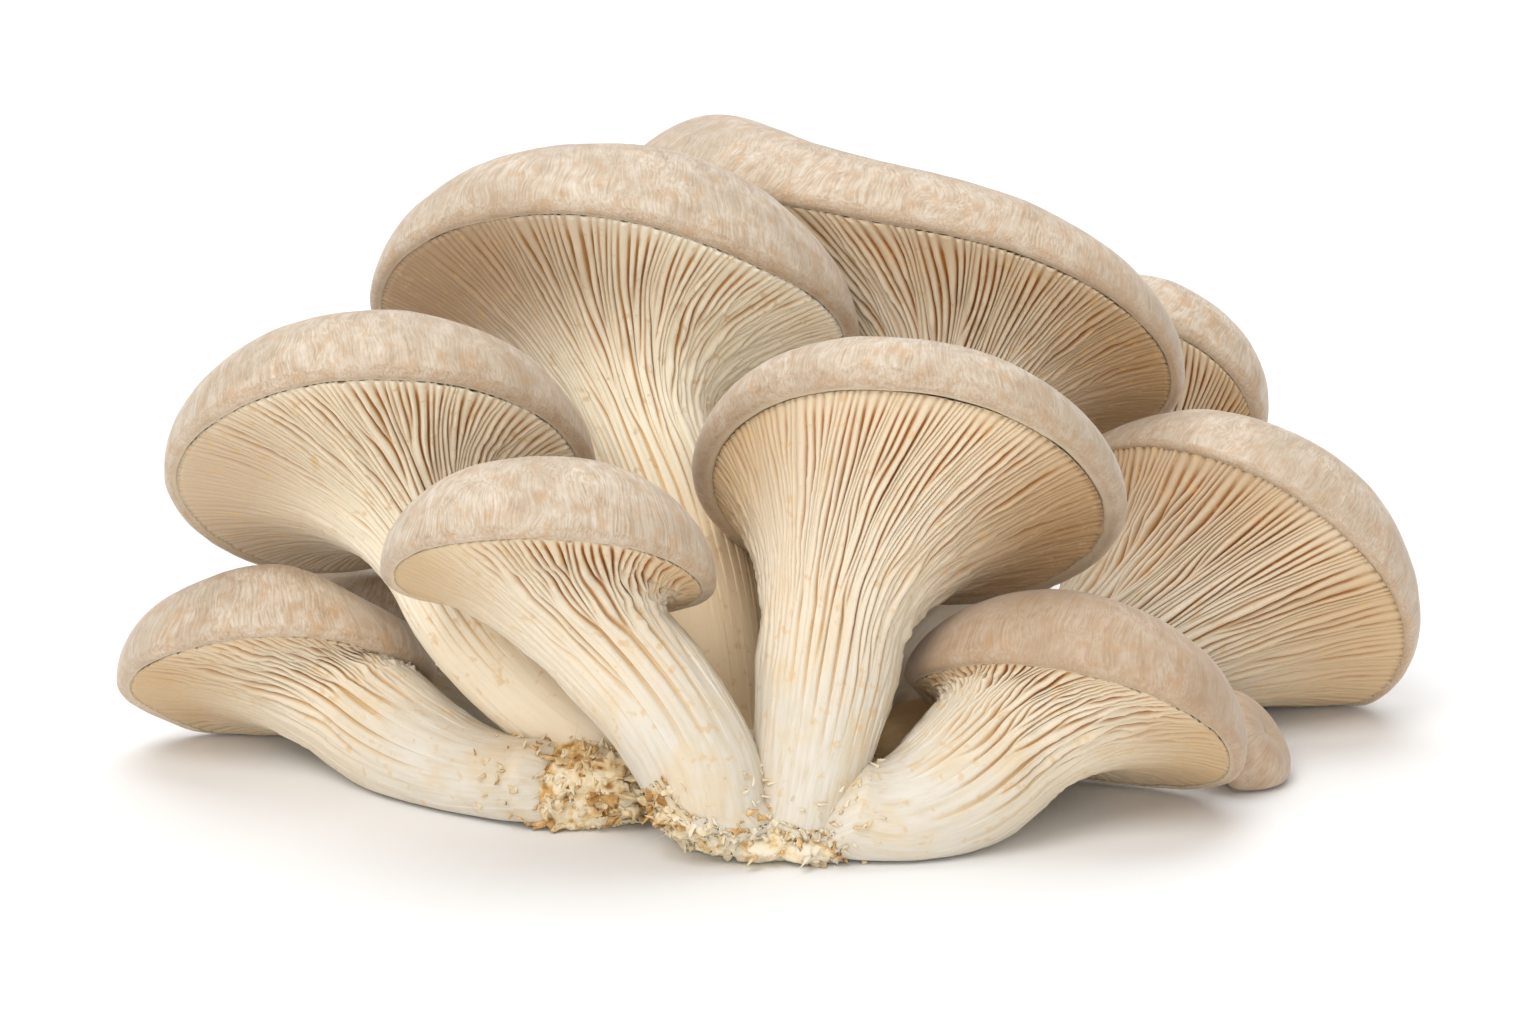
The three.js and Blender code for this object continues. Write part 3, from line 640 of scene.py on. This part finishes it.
def buildFlesh(m):
    d = directionsOf(m)
    ways = np.concatenate([np.linspace(0, 1, gillStyle["stemRows"], endpoint=False),
                           np.linspace(1, 2, gillStyle["trumpetRows"])])
    loop = flatRim(m, d, np.linspace(0, 2 * np.pi, 400))
    perimeter = np.linalg.norm(np.diff(loop, axis=0), axis=1).sum()
    angle, rib, tall, groove = gillColumns(m, d, perimeter, ways)
    way = np.repeat(ways[:, None], angle.shape[1], 1)
    rings = fleshPoint(m, d, angle, way)
    spacing = np.linalg.norm(np.roll(rings, -len(gillStyle["across"]), 1) - rings, axis=-1)
    loose = np.clip(spacing / gillStyle["pitch"], 0.15, 1.0)
    tall, groove = tall * loose, groove * loose  # crowded gills are lower
    outward = fleshNormal(m, d, angle, way)
    # painted shade: the given side of each rim darker, as if in shadow
    gillShadeTurn, paintedGillShade = m.get("paintedGillShade", (270, 0.15))
    paintedGillShade = paintedGillShade * ease(-0.2, 0.9, np.cos(angle - math.radians(gillShadeTurn))) * ease(1.25, 1.85, way)
    # painted shade on the lower stems of mushrooms hidden behind others
    goldTintAndShade = m.get("goldTintAndShade", 0.0) * (1 - ease(0.5, 1.1, way))
    # painted light, an even amount for each mushroom
    paintedLight = np.full_like(way, m.get("paintedLight", 0.0))
    torn = m.get("torn", 0.0) * (1 - ease(0.0, gillStyle["tornReach"], way))
    length = np.linalg.norm(d["neck"] - d["root"]) + np.linalg.norm(d["eye"] - d["neck"])
    radius = 0.5 * (m["neckRadius"] + perimeter / (2 * np.pi))
    fibre = np.stack([np.cos(angle) * radius, np.sin(angle) * radius, way * length / 2], -1)
    if "footTo" in m:
        down = np.array(m["footTo"]) + clusterShift - d["root"]
    else:
        down = gillStyle["foot"] * m["rootRadius"] * unit(d["root"] - d["bend"])
    reach, down = np.linalg.norm(down), unit(down)  # the foot is a blunt round end
    steps = np.array(gillStyle["footSteps"])[:, None, None]
    foot = d["root"] + (rings[0] - d["root"]) * np.sqrt(1 - steps ** 2) + down * steps * reach
    footOut = unit(outward[0] * np.sqrt(1 - steps ** 2) + down * steps)
    last, rise = angle[-1], gillStyle["rimEdge"]
    closing = np.stack([capPoint(m, d, last, np.full_like(last, share), height)
                        for share, height in ((0.97, rise), (0.6, rise + 0.12 * m["dome"]))])
    before, after = len(steps), len(closing)

    def padded(values):
        return np.concatenate([np.repeat(values[:1], before, 0), values, np.repeat(values[-1:], after, 0)])

    rings = np.concatenate([foot, rings, closing])
    outward = np.concatenate([footOut, outward, np.zeros_like(closing)])
    fibre, way, rib, tall = padded(fibre), padded(way), padded(rib), padded(tall)
    groove, paintedGillShade, goldTintAndShade = padded(groove), padded(paintedGillShade), padded(goldTintAndShade)
    paintedLight, loose, torn = padded(paintedLight), padded(loose), padded(torn)
    fibre[:before, :, 2] -= steps[:, :, 0] * reach
    none = np.zeros(3)
    obj = meshFromRings("flesh_" + m["name"], rings, d["root"] + down * reach, d["middle"] + d["up"] * (rise + 0.25 * m["dome"]), {
        "outward": (outward, down, none), "fibre": (fibre, none, none),
        "rib": (rib, [0], [0]), "tall": (tall, [0], [0]), "rimward": (way, [0], [2]), "groove": (groove, [0], [0]),
        "paintedGillShade": (paintedGillShade, [0], [0]), "goldTintAndShade": (goldTintAndShade, [0], [0]), "paintedLight": (paintedLight, [0], [0]),
        "loose": (loose, [1], [0]), "torn": (torn, [1], [0]),
    })
    scale = min(1.0, m["neckRadius"] / 9)
    growWith(obj, reliefTree, {
        "Gill Height": gillStyle["height"] * scale * mm, "Groove Share": gillStyle["grooveShare"],
        "Edge Nicks": gillStyle["nicks"] * scale * mm, "Ripple": gillStyle["ripple"] * scale * mm,
        "Ripple Size": gillStyle["rippleSize"] * mm, "Wrinkle": gillStyle["wrinkle"] * scale * mm,
        "Wrinkle Size": gillStyle["wrinkleSize"] * mm, "Grain": gillStyle["grain"] * mm,
        "Grain Size": gillStyle["grainSize"] * mm, "Seed": m["seed"], "Finish": gillFlesh,
    })
    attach(obj, "root")
    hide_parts("stem_" + m["name"])
    return obj


# caps

capStyle = dict(
    sides=288, domeRows=46, rollRows=10, dip=0.25, thinBack=0.4,
    widest=0.55, lip=0.05, tuck=0.1,  # as shares of the margin
    ripple=0.9, rippleSize=13.0, grain=0.1, grainSize=1.6,  # in millimetres
    rightMarginShade=0.1,  # painted shade on the right-hand margin
)


def crown(share):
    return np.sqrt(np.maximum(0, 1 - share ** 4)) - capStyle["dip"] * np.maximum(0, 1 - share / 0.7) ** 2


def buildCap(m):
    d = directionsOf(m)
    sides = capStyle["sides"] if m["dome"] > 10 else capStyle["sides"] // 2
    angle = np.linspace(0, 2 * np.pi, sides, endpoint=False)
    swell = wavesAt(m, angle)[1]
    margin, widest = m["margin"], capStyle["widest"] * m["margin"]
    lip, tuck = capStyle["lip"] * margin, capStyle["tuck"] * margin
    reach = np.linalg.norm(flatRim(m, d, angle) - d["middle"], axis=-1)
    rings, rimward = [], []

    def addRing(share, height, out, place):
        rings.append(capPoint(m, d, angle, np.full(sides, share), height + np.zeros(sides), out))
        rimward.append(np.full(sides, place))

    for share, height in ((0.4, 0.5 * m["dome"]), (0.8, 0.34 * m["dome"]), (0.95, 2.2)):
        addRing(share, height, 0.0, 2.0)
    for turn in np.linspace(math.pi, 0, capStyle["rollRows"], endpoint=False):  # the rolled margin, from inside to outside
        half = (margin - tuck) / 2
        inner = turn > math.pi / 2
        height = -lip + (1 - math.sin(turn)) * ((lip + 0.8) if inner else (lip + widest))
        addRing(1.0, height, tuck + half + half * math.cos(turn), 1 + turn / math.pi)
    for k in range(capStyle["domeRows"]):
        share = 1 - (k / capStyle["domeRows"]) ** 1.7
        thinner = 1 - capStyle["thinBack"] * share * (1 - np.sin(angle)) / 2
        height = mix(widest, m["dome"] * thinner, crown(share)) + swell * math.sin(math.pi * share * share)
        addRing(share, height, margin * share, share)
    rings, rimward = np.stack(rings), np.stack(rimward)
    spread = np.minimum(rimward, 1)[..., None]
    fibre = np.concatenate([np.cos(angle)[None, :, None] * reach.mean() * np.ones_like(spread),
                            np.sin(angle)[None, :, None] * reach.mean() * np.ones_like(spread),
                            rimward[..., None] * reach.mean()], -1)
    along, around = np.gradient(rings, axis=0), np.roll(rings, -1, 1) - np.roll(rings, 1, 1)
    outward = unit(np.cross(along, around))
    # painted shade: each cap darkened by its own amount, more towards its right-hand margin
    paintedCapShade = m.get("paintedCapShade", 0.03) + capStyle["rightMarginShade"] * ease(0.1, 1, np.cos(angle)) * np.minimum(rimward, 1) ** 2
    underside = d["middle"] + d["up"] * 0.5 * m["dome"]
    top = d["middle"] + d["up"] * m["dome"] * crown(np.array(0.0))
    none = np.zeros(3)
    obj = meshFromRings("skin_" + m["name"], rings, underside, top, {
        "outward": (outward, none, d["up"]), "fibre": (fibre, none, none), "rimward": (rimward, [2], [0]),
        "paintedCapShade": (paintedCapShade, [0], [0]),
    })
    scale = min(1.0, m["dome"] / 15)
    growWith(obj, reliefTree, {
        "Gill Height": 0.0, "Ripple": capStyle["ripple"] * scale * mm, "Ripple Size": capStyle["rippleSize"] * mm,
        "Grain": capStyle["grain"] * mm, "Grain Size": capStyle["grainSize"] * mm, "Seed": m["seed"], "Finish": capSkin,
    })
    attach(obj, "root")
    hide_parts("cap_" + m["name"])
    return obj


for m in mushrooms:
    flesh, skin = buildFlesh(m), buildCap(m)
    print("grown:", m["name"], len(flesh.data.polygons), "gill faces,", len(skin.data.polygons), "cap faces")


# torn base

baseStyle = dict(
    lumps=[((2, 32, 5), (22, 16, 9)), ((0, 9, 4), (18, 9, 6.5)), ((-30, 22, 5.5), (11, 8, 7.5)),
           ((-17, 25, 6), (14, 8, 6.5))],
    edge=[((-13, 3, 6), (5, 4.5, 3.2)), ((-8, 2, 4), (5, 5, 3.2)), ((-2, 1, 3), (6, 5, 2.8)),
          ((4, 1, 2.4), (6, 5, 2.2))],  # under the torn hem of the front stems
    voxel=0.5, ripple=2.6, rippleSize=3.2, grain=2.0, grainSize=1.5, settle=0.6,
)


def buildBase():
    shape = bmesh.new()
    for middle, size in baseStyle["lumps"] + baseStyle["edge"]:
        made = bmesh.ops.create_icosphere(shape, subdivisions=4, radius=1.0)["verts"]
        for v in made:
            v.co = Vector((np.array(v.co) * size + np.array(middle) + clusterShift) * mm)
    mesh = bpy.data.meshes.new("torn_base")
    shape.to_mesh(mesh)
    shape.free()
    obj = bpy.data.objects.new("torn_base", mesh)
    bpy.context.scene.collection.objects.link(obj)
    fuse = obj.modifiers.new("fuse", "REMESH")
    fuse.mode, fuse.voxel_size = "VOXEL", baseStyle["voxel"] * mm
    graph = bpy.context.evaluated_depsgraph_get()
    fused = bpy.data.meshes.new_from_object(obj.evaluated_get(graph))
    obj.modifiers.clear()
    obj.data = fused
    normals = np.zeros(len(fused.vertices) * 3, np.float32)
    fused.vertex_normals.foreach_get("vector", normals)
    fused.attributes.new("outward", "FLOAT_VECTOR", "POINT").data.foreach_set("vector", normals)
    torn = ease(-0.6, -0.1, normals.reshape(-1, 3)[:, 2]).astype(np.float32)  # little on the face that rests
    fused.attributes.new("torn", "FLOAT", "POINT").data.foreach_set("value", torn)
    fused.shade_smooth()
    growWith(obj, reliefTree, {
        "Gill Height": 0.0, "Ripple": baseStyle["ripple"] * mm, "Ripple Size": baseStyle["rippleSize"] * mm,
        "Grain": baseStyle["grain"] * mm, "Grain Size": baseStyle["grainSize"] * mm,
        "Settle": baseStyle["settle"] * mm, "Seed": 5, "Finish": mycelium,
    })
    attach(obj, "root")
    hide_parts("base")
    return obj


base = buildBase()
print("base fused:", len(base.data.polygons), "faces")

# what the tearing left on the base, with lengths in millimetres and density per square millimetre
litter = dict(
    torn_shreds=dict(density=0.1, length=2.4, width=2.4, flatness=0.4, lean=1.0, bend=0.5, ragged=0.6, seed=31),
    torn_crumbs=dict(density=0.3, length=1.1, width=1.2, flatness=0.8, lean=1.5, bend=0.0, ragged=0.6, seed=41),
    dark_flecks=dict(density=0.01, length=1.0, width=0.9, flatness=0.7, lean=1.5, bend=0.0, ragged=0.4, seed=51),
    torn_flakes=dict(density=0.35, length=1.9, width=1.6, flatness=0.35, lean=1.3, bend=0.4, ragged=0.4, seed=81),
    fine_hairs=dict(density=0.06, length=5.0, width=0.12, flatness=1.0, lean=1.1, bend=0.7, ragged=0.3, seed=61),
)


def scatterLitter(name, style, finish, ground):
    obj = bpy.data.objects.new(name, ground.data.copy())
    bpy.context.scene.collection.objects.link(obj)
    growWith(obj, scatterTree, {
        "Density": style["density"] / mm ** 2, "Length": style["length"] * mm, "Width": style["width"] * mm,
        "Flatness": style["flatness"], "Lean": style["lean"], "Bend": style["bend"],
        "Ragged": style["ragged"] * mm, "Seed": style["seed"], "Finish": finish,
    })
    obj.data.shade_smooth()
    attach(obj, "root")
    print("scattered:", name, len(obj.data.polygons), "faces")


# ragged hems where the stems were torn off: thin bands with teeth along one side, in millimetres
hemStyle = dict(
    tooth=(0.8, 2.6), length=(0.4, 3.2), curl=1.2, thick=0.8, tip=0.25, rows=5, columns=6, sway=0.6, rough=0.14,
    edge=[(-23, 9), (-17, 3.5), (-11, 0), (-4, -2), (4, -2.5), (11, -1)],  # just outside the torn edge, seen from the front
    levels=(0.3, 0.9, 1.7, 2.7, 3.9, 5.3),  # how far in from the edge the bands start
    shrink=0.1,  # each band has smaller teeth than the last
    clump=dict(middle=(-30, 22, 5.5), size=(11, 8, 7.5), heights=(1.4, 3.8, 6.2, 8.8, 11.2)),
    seed=71,
)


def buildHem(name, path, ways, rng, scale=1.0):  # the path runs along the root of the teeth, ways is where they point
    steps = np.concatenate([[0], np.cumsum(np.linalg.norm(np.diff(path, axis=0), axis=1))])
    cuts = np.cumsum(rng.uniform(*hemStyle["tooth"], 200))
    cuts = np.concatenate([[0], cuts[cuts < steps[-1]], [steps[-1]]])
    low, high = cuts[:-1, None], cuts[1:, None]
    inner = np.linspace(0, 1, hemStyle["columns"], endpoint=False)
    peak = rng.uniform(0.25, 0.75, len(low))[:, None]
    shape = np.minimum(inner / peak, (1 - inner) / (1 - peak)) ** 0.7
    size = rng.uniform(0, 1, len(low))[:, None] ** 1.6
    reach = scale * mix(*hemStyle["length"], (shape * size).ravel())
    place = (low + inner * (high - low)).ravel()
    root = np.stack([np.interp(place, steps, path[:, i]) for i in range(3)], -1)
    way = unit(np.stack([np.interp(place, steps, ways[:, i]) for i in range(3)], -1))
    way = unit(way + hemStyle["sway"] * np.repeat(rng.uniform(-1, 1, (len(low), 3)), hemStyle["columns"], 0))
    along = unit(np.gradient(root, axis=0))
    face = unit(np.cross(along, way))
    bend = np.repeat(rng.uniform(-1, 1, len(low)), hemStyle["columns"]) * hemStyle["curl"]
    u = np.linspace(-0.6, 1, hemStyle["rows"])[None, :, None]
    middle = root[:, None] + way[:, None] * reach[:, None, None] * u + face[:, None] * (bend[:, None, None] * np.maximum(u, 0) ** 2)
    middle = middle + rng.normal(0, hemStyle["rough"], middle.shape)
    half = face[:, None] * scale * mix(hemStyle["thick"], hemStyle["tip"], np.maximum(u, 0)) / 2
    rings = np.concatenate([middle + half, (middle - half)[:, ::-1]], 1)
    rings[..., 2] = np.maximum(rings[..., 2], 0.1 + 0.05 * np.arange(rings.shape[1]) / rings.shape[1])
    tint = np.repeat(np.repeat(rng.random(len(low)), hemStyle["columns"])[:, None], rings.shape[1], 1)
    obj = meshFromRings(name, rings, rings[0].mean(0), rings[-1].mean(0), {"tint": (tint, tint[0, :1], tint[-1, :1])})
    obj.data.materials.append(mycelium)
    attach(obj, "root")
    return len(obj.data.polygons)


def surfaceAt(x, z):  # the front of the flesh at a place seen from the front
    start = Vector((np.array([x, -40.0, z]) + clusterShift) * mm)
    hits = [hit for hit in (body.ray_cast(start, Vector((0, 1, 0))) for body in bodies) if hit[0] is not None]
    return min(hits, key=lambda hit: hit[0].y) if hits else None


graph = bpy.context.evaluated_depsgraph_get()
bodies = [BVHTree.FromObject(bpy.data.objects["flesh_" + m["name"]], graph) for m in (frontMiddle, frontLeft, frontRight)]
rng = np.random.default_rng(hemStyle["seed"])
faces = 0
edge = np.array(hemStyle["edge"], float)
steps = np.concatenate([[0], np.cumsum(np.linalg.norm(np.diff(edge, axis=0), axis=1))])
at = np.arange(0, steps[-1], 0.8)
edge = np.stack([np.interp(at, steps, edge[:, i]) for i in range(2)], -1)
inward = unit(np.gradient(edge, axis=0))[:, ::-1] * np.array([-1, 1])
inward = inward * np.where(inward[:, 1:] < 0, -1, 1)
for i, level in enumerate(hemStyle["levels"]):
    path, ways = [], []
    for place, n in zip(edge, inward):
        outside = next((k for k in np.arange(0, 9, 0.25) if surfaceAt(*(place + n * k))), None)
        hit = None if outside is None else surfaceAt(*(place + n * (outside + level)))
        if hit:
            path.append(np.array(hit[0]) / mm)
            ways.append(unit(0.7 * np.array(hit[1]) - 0.7 * np.array([n[0], 0, n[1]])))
    faces += buildHem("torn_hem_%d" % (i + 1), np.array(path), np.array(ways), rng,
                      1 - hemStyle["shrink"] * i)
clump = hemStyle["clump"]
for i, height in enumerate(clump["heights"]):
    level = (height - clump["middle"][2]) / clump["size"][2]
    turn = np.radians(np.linspace(190 + rng.uniform(-16, 16), 350 + rng.uniform(-10, 10), 24))
    wide = math.sqrt(1 - level ** 2) * (1 + 0.12 * np.sin(3 * turn + rng.uniform(0, 6.28)))
    path = np.stack([clump["size"][0] * wide * np.cos(turn), clump["size"][1] * wide * np.sin(turn), 0 * turn + height], -1)
    path[:, :2] += clump["middle"][:2]
    ways = np.stack([np.cos(turn), np.sin(turn), -0.4 + 0 * turn], -1)
    faces += buildHem("torn_tier_%d" % (i + 1), path + clusterShift, ways, rng)
print("hems torn:", faces, "faces")

flakes = litter.pop("torn_flakes")
for name, style in litter.items():
    scatterLitter(name, style, darkFleck if name == "dark_flecks" else mycelium, base)
for m in (frontMiddle, frontLeft, frontRight, lowLeft):
    scatterLitter("torn_flakes_" + m["name"], flakes, mycelium, bpy.data.objects["flesh_" + m["name"]])


# table, light and camera

def addFloor():
    mesh = bpy.data.meshes.new("table")
    mesh.from_pydata([(-4, -4, 0), (4, -4, 0), (4, 4, 0), (-4, 4, 0)], [], [(0, 1, 2, 3)])
    floor = bpy.data.objects.new("table", mesh)
    bpy.context.scene.collection.objects.link(floor)
    material, tree, shader = startMaterial("paleTable")
    shader.inputs["Base Color"].default_value = (0.93, 0.93, 0.93, 1)
    shader.inputs["Roughness"].default_value = 0.7
    shader.inputs["Specular IOR Level"].default_value = 0.1
    mesh.materials.append(material)


lights = dict(
    key=dict(comesFrom=(-0.35, -0.6, 0.85), spread=35.0, power=1.25),
    front=dict(comesFrom=(-0.05, -1.0, 0.18), spread=40.0, power=1.12),
    top=dict(comesFrom=(-0.05, 0.45, 1.0), spread=60.0, power=1.62),
)


def addLight(name, style):
    data = bpy.data.lights.new(name, "SUN")
    data.energy, data.angle = style["power"], math.radians(style["spread"])
    lamp = bpy.data.objects.new(name, data)
    lamp.location = style["comesFrom"]
    lamp.rotation_euler = (-Vector(style["comesFrom"])).to_track_quat("-Z", "Y").to_euler()
    bpy.context.scene.collection.objects.link(lamp)


def addCamera():
    style = dict(target=(-0.7, -21.5, 43), elevation=14.0, distance=900.0, lens=131.7)
    tilt = math.radians(style["elevation"])
    back = Vector((0, -math.cos(tilt), math.sin(tilt)))
    data = bpy.data.cameras.new("camera")
    data.lens, data.sensor_width = style["lens"], 36.0
    camera = bpy.data.objects.new("camera", data)
    camera.location = (Vector(style["target"]) + back * style["distance"]) * mm
    camera.rotation_euler = (math.pi / 2 - tilt, 0, 0)
    bpy.context.scene.collection.objects.link(camera)
    bpy.context.scene.camera = camera


addFloor()
for name, style in lights.items():
    addLight(name, style)
addCamera()
world = bpy.data.worlds.new("studio")
world.use_nodes = True
world.node_tree.nodes["Background"].inputs["Color"].default_value = (1, 1, 1, 1)
world.node_tree.nodes["Background"].inputs["Strength"].default_value = 0.42
bpy.context.scene.world = world
bpy.context.scene.view_settings.view_transform = "Standard"
print("table, light and camera set")

bpy.context.view_layer.update()
